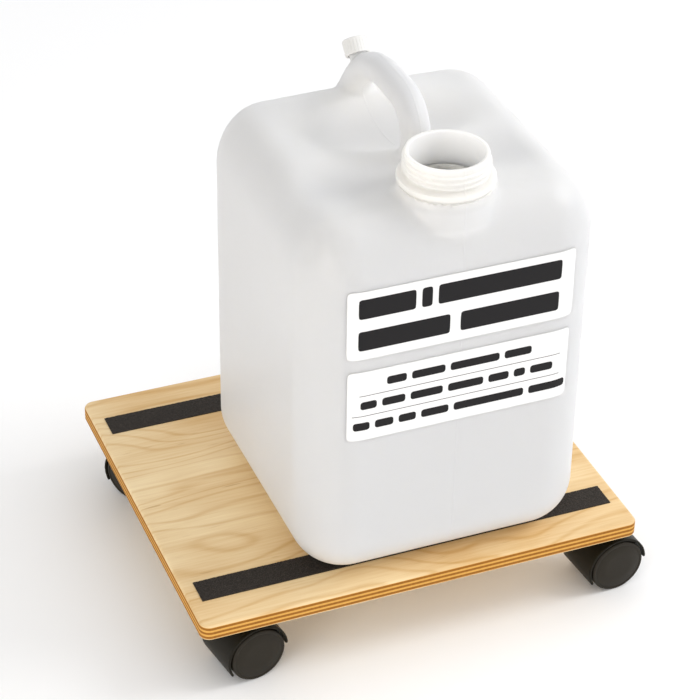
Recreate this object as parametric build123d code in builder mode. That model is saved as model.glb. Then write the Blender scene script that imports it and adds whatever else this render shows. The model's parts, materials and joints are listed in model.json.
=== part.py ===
from build123d import *
from math import cos, radians, sin, tan
import os

# A five gallon water tank standing on a low plywood dolly with four twin-wheel casters.
# Millimetres. Everything is modelled about the middle of the board and then slid along X, so
# that the origin is on the floor under the middle of the whole footprint. +Z is up, and -Y is
# the front, where the tank's neck and labels are.

# ---------------------------------------------------------------- driving dimensions
# board
board_width = 400.0
board_depth = 341.6
board_thickness = 15.0
board_corner_radius = 9.0
board_top_round = 3.0
board_bottom_round = 2.0

# grip strips, cut from one inch tape
strip_width = 25.4
strip_thickness = 1.0
strip_end_margin = 11.4
strip_edge_margin = 32.6

# tank body
tank_width = 254.6
tank_depth = 259.3
tank_height = 343.5
tank_wall = 2.5
tank_corner_radius = 46.0
tank_base_radius = 43.0
tank_top_radius = 42.0
tank_offset_x = 23.7
tank_front_setback = 6.5

# neck, open at the rim, with an outside thread for a screw lid
neck_setback = 41.5
neck_body_radius = 39.8
neck_body_drop = 54.0
collar_radius = 40.8
collar_width = 6.0
collar_rise = 8.0
collar_groove = 1.5
collar_groove_depth = 2.5
neck_tube_radius = 33.6
neck_bore_radius = 30.0
neck_rise = 33.5
thread_height = 1.6
thread_width = 2.2
thread_pitch = 4.7
thread_turns = 3

# hollow carrying handle, a tube bent over a finger well
handle_radius = 12.3
handle_front_setback = 101.5
handle_rear_inset = 22.8
handle_rise = 38.8
handle_rear_lean = 36.0
handle_rear_drop = 47.8
handle_front_bend = 30.0
handle_crown_share = 0.83
handle_rear_bend = 20.0
handle_root_depth = 30.0
well_depth = 18.0
well_leg_margin = 12.0

# vent spout on the handle's rear shoulder, and its screw cap
vent_angle = 43.0
spout_radius = 7.4
spout_bore_radius = 5.0
spout_rise = 12.7
spout_thread_height = 0.9
spout_thread_width = 1.2
spout_thread_pitch = 3.0
spout_thread_turns = 3
spout_thread_top_gap = 1.6
cap_skirt_wall = 2.0
cap_skirt_clearance = 0.5
cap_skirt_length = 10.8
cap_top_thickness = 1.8
cap_edge_round = 1.0
cap_rib_count = 24
cap_rib_depth = 0.4
liner_thickness = 1.0
liner_clearance = 0.15
liner_seat_gap = 0.1

# labels, laid flat round the front of the tank
label_thickness = 0.3
label_corner_radius = 4.0
label_upper_width = 196.0
label_upper_height = 63.0
label_upper_base = 227.0
label_lower_width = 194.0
label_lower_height = 66.0
label_lower_base = 149.0
label_offset_x = 0.8

# twin-wheel casters
wheel_radius = 25.0
wheel_face_round = 1.6
wheel_crown = 0.5
wheel_rim_wall = 3.5
wheel_hub_radius = 7.5
wheel_face_wall = 4.0
caster_width = 50.0
caster_trail = 16.0
web_thickness = 12.0
web_gap = 0.5
axle_radius = 3.0
axle_end_gap = 0.4
axle_end_cover = 2.6
running_clearance = 0.05
hood_gap = 1.3
hood_wall = 2.2
hood_side_inset = 1.0
hood_tail_angle = 3.0
hood_nose_angle = 28.0
hub_boss_radius = 8.0
swivel_boss_radius = 9.5
swivel_boss_rise = 2.8
swivel_boss_cone = 8.0
swivel_boss_cone_angle = 32.0
swivel_boss_height = 10.0
swivel_clearance = 0.2
swivel_washer_thickness = 1.5
plate_size = 38.0
plate_thickness = 2.0
plate_corner_radius = 4.0
kingpin_radius = 3.5
kingpin_length = 25.0
kingpin_head_radius = 5.3
kingpin_head_height = 1.2
ring_groove_depth = 0.7
ring_groove_width = 1.0
ring_groove_rise = 4.2
ring_outer_radius = 4.4
ring_clearance = 0.1
ring_gap = 2.4
ring_pocket_clearance = 0.5
screw_spacing = 29.0
screw_radius = 2.0
screw_hole_clearance = 0.25
screw_head_radius = 3.7
screw_head_height = 2.0
screw_grip = 10.0
front_inset_x = 31.5
front_inset_y = 28.0
rear_inset = 34.0

# tag, side along X, side along Y, inset along X, inset along Y, direction in which the wheels
# trail (degrees from +X)
casters = [
    ("front_left", -1, -1, front_inset_x, front_inset_y, 9.6),
    ("front_right", 1, -1, front_inset_x, front_inset_y, 4.6),
    ("rear_left", -1, 1, rear_inset, rear_inset, -53.0),
    ("rear_right", 1, 1, rear_inset, rear_inset, 188.0),
]

# ---------------------------------------------------------------- derived heights and places
hood_radius = wheel_radius + hood_gap + hood_wall
swivel_top = wheel_radius + hood_radius + swivel_boss_rise
washer_base = swivel_top + swivel_clearance
plate_base = washer_base + swivel_washer_thickness
board_base = plate_base + plate_thickness
board_top = board_base + board_thickness
tank_base = board_top + strip_thickness
tank_top = tank_base + tank_height

tank_front = -board_depth / 2 + tank_front_setback
tank_back = tank_front + tank_depth
tank_centre_y = (tank_front + tank_back) / 2
neck_y = tank_front + neck_setback
collar_base = tank_top + collar_rise
collar_top = collar_base + collar_width
neck_rim = tank_top + neck_rise

handle_front_y = tank_front + handle_front_setback
handle_rear_y = tank_back - handle_rear_inset
handle_crown_z = tank_top + handle_rise
handle_root_z = tank_top - handle_root_depth
handle_bend_y = handle_rear_y - handle_rear_lean
handle_crown_bend = handle_crown_share * (handle_bend_y - handle_front_y)

well_half_length = (handle_rear_y - handle_front_y) / 2 - handle_radius - well_leg_margin
well_radius = (well_half_length**2 + well_depth**2) / (2 * well_depth)
well_y = (handle_front_y + handle_rear_y) / 2 - handle_radius / 4
well_z = tank_top - well_depth + well_radius


stem_points = {
    tag: Vector(side_x * (board_width / 2 - inset_x), side_y * (board_depth / 2 - inset_y), 0)
    for tag, side_x, side_y, inset_x, inset_y, trail_angle in casters
}

finished = {}


def save(piece, name):
    """Keep a finished piece under its name, to be placed and written at the end."""
    finished[name] = piece.part
    print(name, len(piece.part.solids()), "solid", round(piece.part.volume / 1000, 2), "cm3")


# ---------------------------------------------------------------- board
screw_tip = board_base + screw_grip

with BuildPart() as board:
    with BuildSketch(Plane.XY.offset(board_base)):
        RectangleRounded(board_width, board_depth, board_corner_radius)
    extrude(amount=board_thickness)
    fillet(board.edges().group_by(Axis.Z)[-1], board_top_round)
    fillet(board.edges().group_by(Axis.Z)[0], board_bottom_round)
    with BuildSketch(Plane.XY.offset(board_base)):
        with Locations(*stem_points.values()):
            with GridLocations(screw_spacing, screw_spacing, 2, 2):
                Circle(screw_radius)
    extrude(amount=screw_grip, mode=Mode.SUBTRACT)
save(board, "board")

# ---------------------------------------------------------------- grip strips
strip_y = board_depth / 2 - strip_edge_margin - strip_width / 2
for name, strip_side in (("grip_strip_front", -1), ("grip_strip_rear", 1)):
    with BuildPart() as strip:
        with BuildSketch(Plane.XY.offset(board_top)):
            with Locations((0, strip_side * strip_y)):
                Rectangle(board_width - 2 * strip_end_margin, strip_width)
        extrude(amount=strip_thickness)
    save(strip, name)

# ---------------------------------------------------------------- tank
tank_plan = Plane.XY.offset(tank_base)
tank_centre = (tank_offset_x, tank_centre_y)
neck_centre = (tank_offset_x, neck_y)
handle_plane = Plane.YZ.offset(tank_offset_x)

with BuildLine(handle_plane) as handle_path:
    FilletPolyline(
        (handle_front_y, handle_root_z),
        (handle_front_y, handle_crown_z),
        (handle_bend_y, handle_crown_z),
        (handle_rear_y, handle_crown_z - handle_rear_drop),
        (handle_rear_y, handle_root_z),
        radius=[handle_front_bend, handle_crown_bend, handle_rear_bend],
    )
handle_start = Plane(origin=handle_path.line @ 0, z_dir=handle_path.line % 0)

# the spout leaves the handle at right angles, from the middle of the tube on the crown bend
rear_slope = Vector(handle_rear_lean, handle_rear_drop).get_angle(Vector(1, 0))
crown_centre_y = handle_bend_y - handle_crown_bend * tan(radians(rear_slope / 2))
crown_centre_z = handle_crown_z - handle_crown_bend
spout_direction = Vector(0, sin(radians(vent_angle)), cos(radians(vent_angle)))
spout_length = handle_radius + spout_rise
crown_centre = Vector(tank_offset_x, crown_centre_y, crown_centre_z)
spout_origin = crown_centre + spout_direction * handle_crown_bend
spout_plane = Plane(origin=spout_origin, x_dir=(1, 0, 0), z_dir=spout_direction)

# the hollow inside the tank, its neck, its handle and its spout
with BuildPart() as tank_hollow:
    with BuildSketch(tank_plan.offset(tank_wall)):
        with Locations(tank_centre):
            RectangleRounded(
                tank_width - 2 * tank_wall, tank_depth - 2 * tank_wall, tank_corner_radius - tank_wall
            )
    extrude(amount=tank_height - 2 * tank_wall)
    fillet(tank_hollow.edges().group_by(Axis.Z)[-1], tank_top_radius - tank_wall)
    fillet(tank_hollow.edges().group_by(Axis.Z)[0], tank_base_radius - tank_wall)
    with Locations((tank_offset_x, well_y, well_z)):
        Sphere(well_radius + tank_wall, mode=Mode.SUBTRACT)
    with BuildSketch(Plane.XY.offset(tank_top - neck_body_drop)):
        with Locations(neck_centre):
            Circle(neck_body_radius - collar_groove_depth - tank_wall)
    extrude(amount=neck_body_drop + collar_rise - tank_wall)
    with BuildSketch(Plane.XY.offset(tank_top)):
        with Locations(neck_centre):
            Circle(neck_bore_radius)
    extrude(amount=neck_rise)
    with BuildSketch(handle_start):
        Circle(handle_radius - tank_wall)
    sweep(path=handle_path.line)
    with BuildSketch(spout_plane):
        Circle(spout_bore_radius)
    extrude(amount=spout_length)

with BuildPart() as tank:
    with BuildSketch(tank_plan):
        with Locations(tank_centre):
            RectangleRounded(tank_width, tank_depth, tank_corner_radius)
    extrude(amount=tank_height)
    fillet(tank.edges().group_by(Axis.Z)[-1], tank_top_radius)
    fillet(tank.edges().group_by(Axis.Z)[0], tank_base_radius)
    with Locations((tank_offset_x, well_y, well_z)):
        Sphere(well_radius, mode=Mode.SUBTRACT)
    # neck: body, groove under the collar, collar, threaded tube
    with BuildSketch(Plane.XY.offset(tank_top - neck_body_drop)):
        with Locations(neck_centre):
            Circle(neck_body_radius)
    extrude(amount=neck_body_drop + collar_rise - collar_groove)
    with BuildSketch(Plane.XY.offset(collar_base - collar_groove)):
        with Locations(neck_centre):
            Circle(neck_body_radius - collar_groove_depth)
    extrude(amount=collar_groove)
    with BuildSketch(Plane.XY.offset(collar_base)):
        with Locations(neck_centre):
            Circle(collar_radius)
    extrude(amount=collar_width)
    with BuildSketch(Plane.XY.offset(collar_top)):
        with Locations(neck_centre):
            Circle(neck_tube_radius)
    extrude(amount=neck_rim - collar_top)
    for turn in range(thread_turns):
        with BuildSketch(Plane.XY.offset(neck_rim - (turn + 1) * thread_pitch)):
            with Locations(neck_centre):
                Circle(neck_tube_radius + thread_height)
        extrude(amount=thread_width)
    # handle tube
    with BuildSketch(handle_start):
        Circle(handle_radius)
    sweep(path=handle_path.line)
    # vent spout and its thread
    with BuildSketch(spout_plane):
        Circle(spout_radius)
    extrude(amount=spout_length)
    for turn in range(spout_thread_turns):
        thread_base = spout_length - spout_thread_top_gap - spout_thread_width - turn * spout_thread_pitch
        with BuildSketch(spout_plane.offset(thread_base)):
            Circle(spout_radius + spout_thread_height)
        extrude(amount=spout_thread_width)
    add(tank_hollow.part, mode=Mode.SUBTRACT)
save(tank, "tank")

# ---------------------------------------------------------------- labels
label_x = tank_offset_x + label_offset_x
label_rows = (
    ("label_upper", label_upper_width, label_upper_height, label_upper_base),
    ("label_lower", label_lower_width, label_lower_height, label_lower_base),
)
for name, label_width, label_height, label_base in label_rows:
    with BuildPart() as label:
        with BuildSketch(Plane.XY.offset(tank_base + label_base)):
            with Locations(tank_centre):
                RectangleRounded(
                    tank_width + 2 * label_thickness,
                    tank_depth + 2 * label_thickness,
                    tank_corner_radius + label_thickness,
                )
                RectangleRounded(tank_width, tank_depth, tank_corner_radius, mode=Mode.SUBTRACT)
        extrude(amount=label_height)
        with BuildSketch(Plane.XZ.offset(-tank_centre_y)):
            with Locations((label_x, tank_base + label_base + label_height / 2)):
                RectangleRounded(label_width, label_height, label_corner_radius)
        extrude(amount=tank_depth, mode=Mode.INTERSECT)
    save(label, name)

# ---------------------------------------------------------------- vent cap and its liner
skirt_inner_radius = spout_radius + spout_thread_height + cap_skirt_clearance
cap_radius = skirt_inner_radius + cap_skirt_wall
liner_radius = skirt_inner_radius - liner_clearance
cap_base = spout_length - cap_skirt_length
cap_ceiling = spout_length + liner_thickness + liner_seat_gap
cap_inner_depth = cap_ceiling - cap_base

with BuildPart() as vent_cap:
    with BuildSketch(spout_plane.offset(cap_base)):
        Circle(cap_radius)
    extrude(amount=cap_inner_depth + cap_top_thickness)
    fillet(vent_cap.edges().sort_by(Axis.Z)[-1], cap_edge_round)
    with BuildSketch(spout_plane.offset(cap_base)):
        with PolarLocations(cap_radius, cap_rib_count):
            Circle(cap_rib_depth)
    extrude(amount=cap_inner_depth, mode=Mode.SUBTRACT)
    with BuildSketch(spout_plane.offset(cap_base)):
        Circle(skirt_inner_radius)
    extrude(amount=cap_inner_depth, mode=Mode.SUBTRACT)
save(vent_cap, "vent_cap")

with BuildPart() as vent_cap_liner:
    with BuildSketch(spout_plane.offset(spout_length)):
        Circle(liner_radius)
    extrude(amount=liner_thickness)
save(vent_cap_liner, "vent_cap_liner")

# ---------------------------------------------------------------- casters
web_half = web_thickness / 2
caster_half = caster_width / 2
wheel_inner = web_half + web_gap
hood_half = caster_half - hood_side_inset
axle_half = caster_half - axle_end_cover - axle_end_gap
kingpin_tip = board_base - kingpin_length
ring_groove_base = kingpin_tip + ring_groove_rise
ring_groove_radius = kingpin_radius - ring_groove_depth


def make_plate(tag, stem):
    """Steel mounting plate, countersunk from above for the kingpin's riveted head."""
    with BuildPart() as plate:
        with BuildSketch(stem.offset(plate_base)):
            RectangleRounded(plate_size, plate_size, plate_corner_radius)
            with GridLocations(screw_spacing, screw_spacing, 2, 2):
                Circle(screw_radius + screw_hole_clearance, mode=Mode.SUBTRACT)
            Circle(kingpin_radius, mode=Mode.SUBTRACT)
        extrude(amount=plate_thickness)
        with BuildSketch(stem.offset(board_base - kingpin_head_height)):
            Circle(kingpin_radius)
        with BuildSketch(stem.offset(board_base)):
            Circle(kingpin_head_radius)
        loft(mode=Mode.SUBTRACT)
    save(plate, f"mounting_plate_{tag}")


def make_kingpin(tag, stem):
    """Steel swivel pin with a riveted head and a groove for its retaining ring."""
    with BuildPart() as kingpin:
        with BuildSketch(stem.offset(kingpin_tip)):
            Circle(kingpin_radius)
        extrude(amount=kingpin_length - kingpin_head_height)
        with BuildSketch(stem.offset(board_base - kingpin_head_height)):
            Circle(kingpin_radius)
        with BuildSketch(stem.offset(board_base)):
            Circle(kingpin_head_radius)
        loft()
        with BuildSketch(stem.offset(ring_groove_base)):
            Circle(kingpin_radius)
            Circle(ring_groove_radius, mode=Mode.SUBTRACT)
        extrude(amount=ring_groove_width, mode=Mode.SUBTRACT)
    save(kingpin, f"kingpin_{tag}")


def make_retaining_ring(tag, stem):
    """Split spring ring that sits in the kingpin's groove and holds the housing up."""
    with BuildPart() as ring:
        with BuildSketch(stem.offset(ring_groove_base + ring_clearance)):
            Circle(ring_outer_radius)
            Circle(ring_groove_radius + ring_clearance, mode=Mode.SUBTRACT)
            with Locations((ring_outer_radius / 2, 0)):
                Rectangle(ring_outer_radius, ring_gap, mode=Mode.SUBTRACT)
        extrude(amount=ring_groove_width - 2 * ring_clearance)
    save(ring, f"retaining_ring_{tag}")


def make_swivel_washer(tag, stem):
    """Plastic thrust washer between the plate and the housing."""
    with BuildPart() as washer:
        with BuildSketch(stem.offset(washer_base)):
            Circle(swivel_boss_radius)
            Circle(kingpin_radius, mode=Mode.SUBTRACT)
        extrude(amount=swivel_washer_thickness)
    save(washer, f"swivel_washer_{tag}")


def make_screws(tag, stem):
    """Four pan head screws, up through the plate into the board."""
    with BuildPart() as screws:
        with BuildSketch(stem.offset(plate_base - screw_head_height)):
            with GridLocations(screw_spacing, screw_spacing, 2, 2):
                Circle(screw_head_radius)
        extrude(amount=screw_head_height)
        fillet(screws.edges().group_by(Axis.Z)[0], screw_head_height / 2)
        with BuildSketch(stem.offset(plate_base)):
            with GridLocations(screw_spacing, screw_spacing, 2, 2):
                Circle(screw_radius)
        extrude(amount=screw_tip - plate_base)
    save(screws, f"plate_screws_{tag}")


def make_housing(tag, stem, side):
    """Moulded hood over the wheels, with the web between them and the swivel boss."""
    axle_point = (caster_trail, wheel_radius)
    hood_span = 180 + hood_nose_angle - hood_tail_angle
    boss_base = swivel_top - swivel_boss_height
    pocket_base = ring_groove_base - ring_pocket_clearance
    pocket_radius = ring_outer_radius + ring_pocket_clearance
    with BuildPart() as housing:
        # swivel boss, kept out of the wheel space
        with BuildSketch(stem.offset(boss_base)):
            Circle(swivel_boss_radius)
        extrude(amount=swivel_boss_height)
        with BuildSketch(stem.offset(boss_base)):
            Circle(swivel_boss_radius)
        extrude(amount=-swivel_boss_cone, taper=swivel_boss_cone_angle)
        with BuildSketch(side.offset(-hood_half)):
            with Locations(axle_point):
                Circle(hood_radius - hood_wall)
        extrude(amount=2 * hood_half, mode=Mode.SUBTRACT)
        # curved hood
        with BuildSketch(side.offset(-hood_half)):
            with BuildLine():
                outer = CenterArc(axle_point, hood_radius, hood_tail_angle, hood_span)
                inner = CenterArc(axle_point, hood_radius - hood_wall, hood_tail_angle, hood_span)
                Line(outer @ 0, inner @ 0)
                Line(outer @ 1, inner @ 1)
            make_face()
        extrude(amount=2 * hood_half)
        # web between the wheels, up to the swivel boss and down to the axle
        with BuildSketch(side.offset(-web_half)):
            with BuildLine():
                rim = CenterArc(axle_point, hood_radius - hood_wall / 2, hood_tail_angle, hood_span)
                Line(axle_point, rim @ 0)
                Line(axle_point, rim @ 1)
            make_face()
            with Locations(axle_point):
                Circle(hub_boss_radius)
        extrude(amount=web_thickness)
        # kingpin bore with its ring pocket, and the axle hole
        with BuildSketch(stem.offset(kingpin_tip - axle_end_gap)):
            Circle(kingpin_radius + running_clearance)
        extrude(amount=kingpin_length, mode=Mode.SUBTRACT)
        with BuildSketch(stem.offset(pocket_base)):
            Circle(pocket_radius)
        extrude(amount=ring_groove_width + 2 * ring_pocket_clearance, mode=Mode.SUBTRACT)
        with BuildSketch(side.offset(-web_half)):
            with Locations(axle_point):
                Circle(axle_radius)
        extrude(amount=web_thickness, mode=Mode.SUBTRACT)
    save(housing, f"housing_{tag}")


def make_axle(tag, side):
    """Steel axle pressed through the web."""
    with BuildPart() as axle:
        with BuildSketch(side.offset(-axle_half)):
            with Locations((caster_trail, wheel_radius)):
                Circle(axle_radius)
        extrude(amount=2 * axle_half)
    save(axle, f"axle_{tag}")


def make_wheel(tag, name, section, axis):
    """One moulded wheel, closed on its face and hollow on the side towards the web."""
    bore = axle_radius + running_clearance
    bore_end = axle_half + axle_end_gap
    rim_inner = wheel_radius - wheel_rim_wall
    pocket_end = caster_half - wheel_face_wall
    shoulder = caster_half - wheel_crown
    with BuildPart() as wheel:
        with BuildSketch(section):
            with BuildLine():
                Polyline(
                    (0, caster_half),
                    (0, bore_end),
                    (bore, bore_end),
                    (bore, wheel_inner),
                    (wheel_hub_radius, wheel_inner),
                    (wheel_hub_radius, pocket_end),
                    (rim_inner, pocket_end),
                    (rim_inner, wheel_inner),
                    (wheel_radius - wheel_face_round, wheel_inner),
                    (wheel_radius, wheel_inner + wheel_face_round),
                    (wheel_radius, shoulder - wheel_face_round),
                )
                RadiusArc(
                    (wheel_radius, shoulder - wheel_face_round),
                    (wheel_radius - wheel_face_round, shoulder),
                    -wheel_face_round,
                )
                Line((wheel_radius - wheel_face_round, shoulder), (0, caster_half))
            make_face()
        revolve(axis=axis)
    save(wheel, f"{name}_{tag}")


for tag, side_x, side_y, inset_x, inset_y, trail_angle in casters:
    trail = Vector(cos(radians(trail_angle)), sin(radians(trail_angle)), 0)
    across = Vector(sin(radians(trail_angle)), -cos(radians(trail_angle)), 0)
    stem_point = stem_points[tag]
    wheel_centre = stem_point + trail * caster_trail + Vector(0, 0, wheel_radius)
    stem_square = Plane(origin=stem_point)
    stem_turned = Plane(origin=stem_point, x_dir=trail)
    side = Plane(origin=stem_point, x_dir=trail, z_dir=across)
    make_plate(tag, stem_square)
    make_screws(tag, stem_square)
    make_kingpin(tag, stem_square)
    make_retaining_ring(tag, stem_square)
    make_swivel_washer(tag, stem_square)
    make_housing(tag, stem_turned, side)
    make_axle(tag, side)
    axle_axis = Axis(wheel_centre, across)
    section_a = Plane(origin=wheel_centre, x_dir=trail, z_dir=(0, 0, -1))
    section_b = Plane(origin=wheel_centre, x_dir=trail, z_dir=(0, 0, 1))
    make_wheel(tag, "wheel_a", section_a, axle_axis)
    make_wheel(tag, "wheel_b", section_b, axle_axis)

# ---------------------------------------------------------------- place and write every piece
footprint_left = min(solid.bounding_box().min.X for solid in finished.values())
footprint_right = max(solid.bounding_box().max.X for solid in finished.values())
footprint_middle = (footprint_left + footprint_right) / 2
to_middle = Location((-footprint_middle, 0, 0))
print("footprint", round(footprint_left, 3), "to", round(footprint_right, 3), "mm along X")

os.makedirs("parts", exist_ok=True)
for name, solid in finished.items():
    placed = solid.moved(to_middle)
    placed.label = name
    export_step(placed, f"parts/{name}.step")
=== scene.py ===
# %% [markdown]
# # A water tank on a rolling board
# The object is the clean-water part of a portable hand-wash sink: a milky plastic can that stands
# loose on a plywood board with four twin-wheel casters. The sizes, places and joints are already
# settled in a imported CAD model, so this script loads that model as a fixed frame and only makes
# the looks around it. Every piece below is built where the frame says, and rides on a body of it.

# %% Load the frame
import json
import math
import bmesh
import bpy
import numpy as np
from mathutils import Matrix, Vector


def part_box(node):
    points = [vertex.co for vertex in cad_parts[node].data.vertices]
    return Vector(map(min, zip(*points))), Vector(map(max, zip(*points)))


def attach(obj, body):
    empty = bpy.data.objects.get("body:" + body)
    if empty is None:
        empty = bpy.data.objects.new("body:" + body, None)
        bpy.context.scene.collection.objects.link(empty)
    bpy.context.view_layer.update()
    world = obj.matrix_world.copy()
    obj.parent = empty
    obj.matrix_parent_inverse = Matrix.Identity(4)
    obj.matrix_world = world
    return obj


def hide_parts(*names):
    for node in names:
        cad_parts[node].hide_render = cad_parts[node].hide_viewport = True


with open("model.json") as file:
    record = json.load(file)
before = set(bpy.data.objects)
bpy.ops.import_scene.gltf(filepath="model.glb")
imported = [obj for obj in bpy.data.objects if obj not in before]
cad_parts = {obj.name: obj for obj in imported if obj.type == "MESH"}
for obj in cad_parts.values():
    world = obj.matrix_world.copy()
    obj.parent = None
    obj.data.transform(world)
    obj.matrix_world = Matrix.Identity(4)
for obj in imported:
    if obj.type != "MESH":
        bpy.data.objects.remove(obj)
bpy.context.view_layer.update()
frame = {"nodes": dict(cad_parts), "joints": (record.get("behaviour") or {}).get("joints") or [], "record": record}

scene = bpy.context.scene
MM = 0.001

# %% [markdown]
# ## Camera and light
# The camera comes first, because it decides which side of each piece needs the most care. It looks
# from the front left and from above, through a long lens, so the upright edges of the tank lean
# only a little. A big soft lamp stands on the right, and the sky fades towards the left, so the
# board's shadow falls that way. A low, warm lamp on the left stands in for light off the board.

# %% Camera
board_low, board_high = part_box("board")
camera_azimuth = math.radians(-22.43)
camera_elevation = math.radians(34.06)
camera_roll = math.radians(1.05)
camera_distance = 2.3017
board_mid = (board_low + board_high) / 2
camera_target = Vector((board_mid.x + 0.0639, board_mid.y + 0.164, board_high.z))

back = Vector((
    math.sin(camera_azimuth) * math.cos(camera_elevation),
    -math.cos(camera_azimuth) * math.cos(camera_elevation),
    math.sin(camera_elevation),
))
level = back.cross(Vector((0, 0, 1))).normalized() * -1
upright = back.cross(level)
right = level * math.cos(camera_roll) + upright * math.sin(camera_roll)
up = upright * math.cos(camera_roll) - level * math.sin(camera_roll)

camera_data = bpy.data.cameras.new("camera")
camera_data.lens = 123.75
camera_data.sensor_width = 36.0
camera = bpy.data.objects.new("camera", camera_data)
camera.matrix_world = Matrix.Translation(camera_target + back * camera_distance) @ Matrix(
    (right, up, back)
).transposed().to_4x4()
scene.collection.objects.link(camera)
scene.camera = camera
print("camera at:", [round(v, 3) for v in camera.matrix_world.translation], "lens:", camera_data.lens)


# %% Light
def soft_lamp(name, place, aim, size, power, colour=(1.0, 1.0, 1.0)):
    """A square area lamp at place that points at aim."""
    lamp = bpy.data.lights.new(name, "AREA")
    lamp.shape = "SQUARE"
    lamp.size = size
    lamp.energy = power
    lamp.color = colour
    holder = bpy.data.objects.new(name, lamp)
    holder.location = place
    holder.rotation_euler = (Vector(aim) - Vector(place)).to_track_quat("-Z", "Y").to_euler()
    scene.collection.objects.link(holder)
    print(name, "watts:", power, "side:", size)


soft_lamp("key_lamp", (1.8, -0.55, 1.75), (0, 0, 0.1), 0.9, 19.0, (1.0, 0.99, 0.98))
soft_lamp("fill_lamp", (-2.2, -1.6, 0.75), (0, 0, 0.3), 1.2, 25.0, (1.0, 0.93, 0.83))

world = bpy.data.worlds.new("pale_sky")
world.use_nodes = True
sky = world.node_tree
sky_place = sky.nodes.new("ShaderNodeTexCoord")
sky_parts = sky.nodes.new("ShaderNodeSeparateXYZ")
sky_range = sky.nodes.new("ShaderNodeMapRange")
sky_left, sky_right = 0.52, 1.18
sky_range.inputs["From Min"].default_value = -1.0
sky_range.inputs["To Min"].default_value = sky_left
sky_range.inputs["To Max"].default_value = sky_right
sky.links.new(sky_place.outputs["Generated"], sky_parts.inputs[0])
sky.links.new(sky_parts.outputs["X"], sky_range.inputs["Value"])
sky.links.new(sky_range.outputs["Result"], sky.nodes["Background"].inputs["Strength"])
sky.nodes["Background"].inputs["Color"].default_value = (1.0, 1.0, 1.0, 1.0)
scene.world = world
scene.view_settings.view_transform = "Standard"
print("sky strength from left to right:", sky_left, "to", sky_right)

# %% [markdown]
# ## A small way to write node maths
# Most finishes, and the shape of the tank itself, are formulas. Dragging dozens of Math nodes by
# hand hides the formula, so one small class wraps a socket and lets Python's own operators add
# the nodes. The same class serves shader trees and Geometry Nodes trees.


# %% Node maths
class Wire:
    """An output socket that Python can do sums with: each operator adds one Math node."""

    def __init__(self, tree, socket):
        self.tree = tree
        self.socket = socket

    def math(self, operation, *others):
        made = self.tree.nodes.new("ShaderNodeMath")
        made.operation = operation
        for socket, value in zip(made.inputs, (self, *others)):
            plug(self.tree, socket, value)
        return Wire(self.tree, made.outputs[0])

    def __add__(self, other):
        return self.math("ADD", other)

    def __sub__(self, other):
        return self.math("SUBTRACT", other)

    def __rsub__(self, other):
        return self.math("MULTIPLY", -1.0).math("ADD", other)

    def __mul__(self, other):
        return self.math("MULTIPLY", other)

    def __truediv__(self, other):
        return self.math("DIVIDE", other)

    def __rtruediv__(self, other):
        return self.math("POWER", -1.0).math("MULTIPLY", other)

    def __pow__(self, other):
        return self.math("POWER", other)

    def __neg__(self):
        return self.math("MULTIPLY", -1.0)

    def most(self, other):
        return self.math("MAXIMUM", other)

    def least(self, other):
        return self.math("MINIMUM", other)

    __radd__ = __add__
    __rmul__ = __mul__


def plug(tree, socket, value):
    """Links a wire into a socket, or sets a plain value on it."""
    if isinstance(value, Wire):
        tree.links.new(value.socket, socket)
    else:
        socket.default_value = value


def step(tree, kind, settings=None, inputs=None, out=0):
    """Adds any other node: its settings first, then the values or wires of its sockets."""
    made = tree.nodes.new(kind)
    for name, value in (settings or {}).items():
        setattr(made, name, value)
    for name, value in (inputs or {}).items():
        plug(tree, made.inputs[name], value)
    return Wire(tree, made.outputs[out])


def parts_of(tree, vector):
    """The x, y and z of a vector as three wires."""
    made = tree.nodes.new("ShaderNodeSeparateXYZ")
    plug(tree, made.inputs[0], vector)
    return [Wire(tree, socket) for socket in made.outputs]


def span(a, b):
    """Length of the hypotenuse of two wires."""
    return (a * a + b * b) ** 0.5


print("node maths: each operator on a wire adds one Math node")


# %% [markdown]
# ## Helpers for pieces
# A finished mesh is handed over by one function: it says which body the piece rides on, which
# material it takes, and which CAD nodes it stands for.


# %% Handing over a piece
def link(name, mesh):
    made = bpy.data.objects.new(name, mesh)
    scene.collection.objects.link(made)
    return made


def keep(piece, body, slot, material, *nodes):
    """The piece rides on a body, takes a finish, and stands for the CAD nodes named."""
    piece.data.materials.clear()
    piece.data.materials.append(material)
    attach(piece, body)
    if nodes:
        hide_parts(*nodes)
    piece.data.calc_loop_triangles()
    print(piece.name, "triangles:", len(piece.data.loop_triangles))
    return piece


def baked_mesh(piece):
    """The piece's mesh with its modifiers applied, and the piece itself removed."""
    bpy.context.view_layer.update()
    done = bpy.data.meshes.new_from_object(
        piece.evaluated_get(bpy.context.evaluated_depsgraph_get())
    )
    old = piece.data
    bpy.data.objects.remove(piece)
    if isinstance(old, bpy.types.Mesh) and not old.users:
        bpy.data.meshes.remove(old)
    return done


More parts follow.
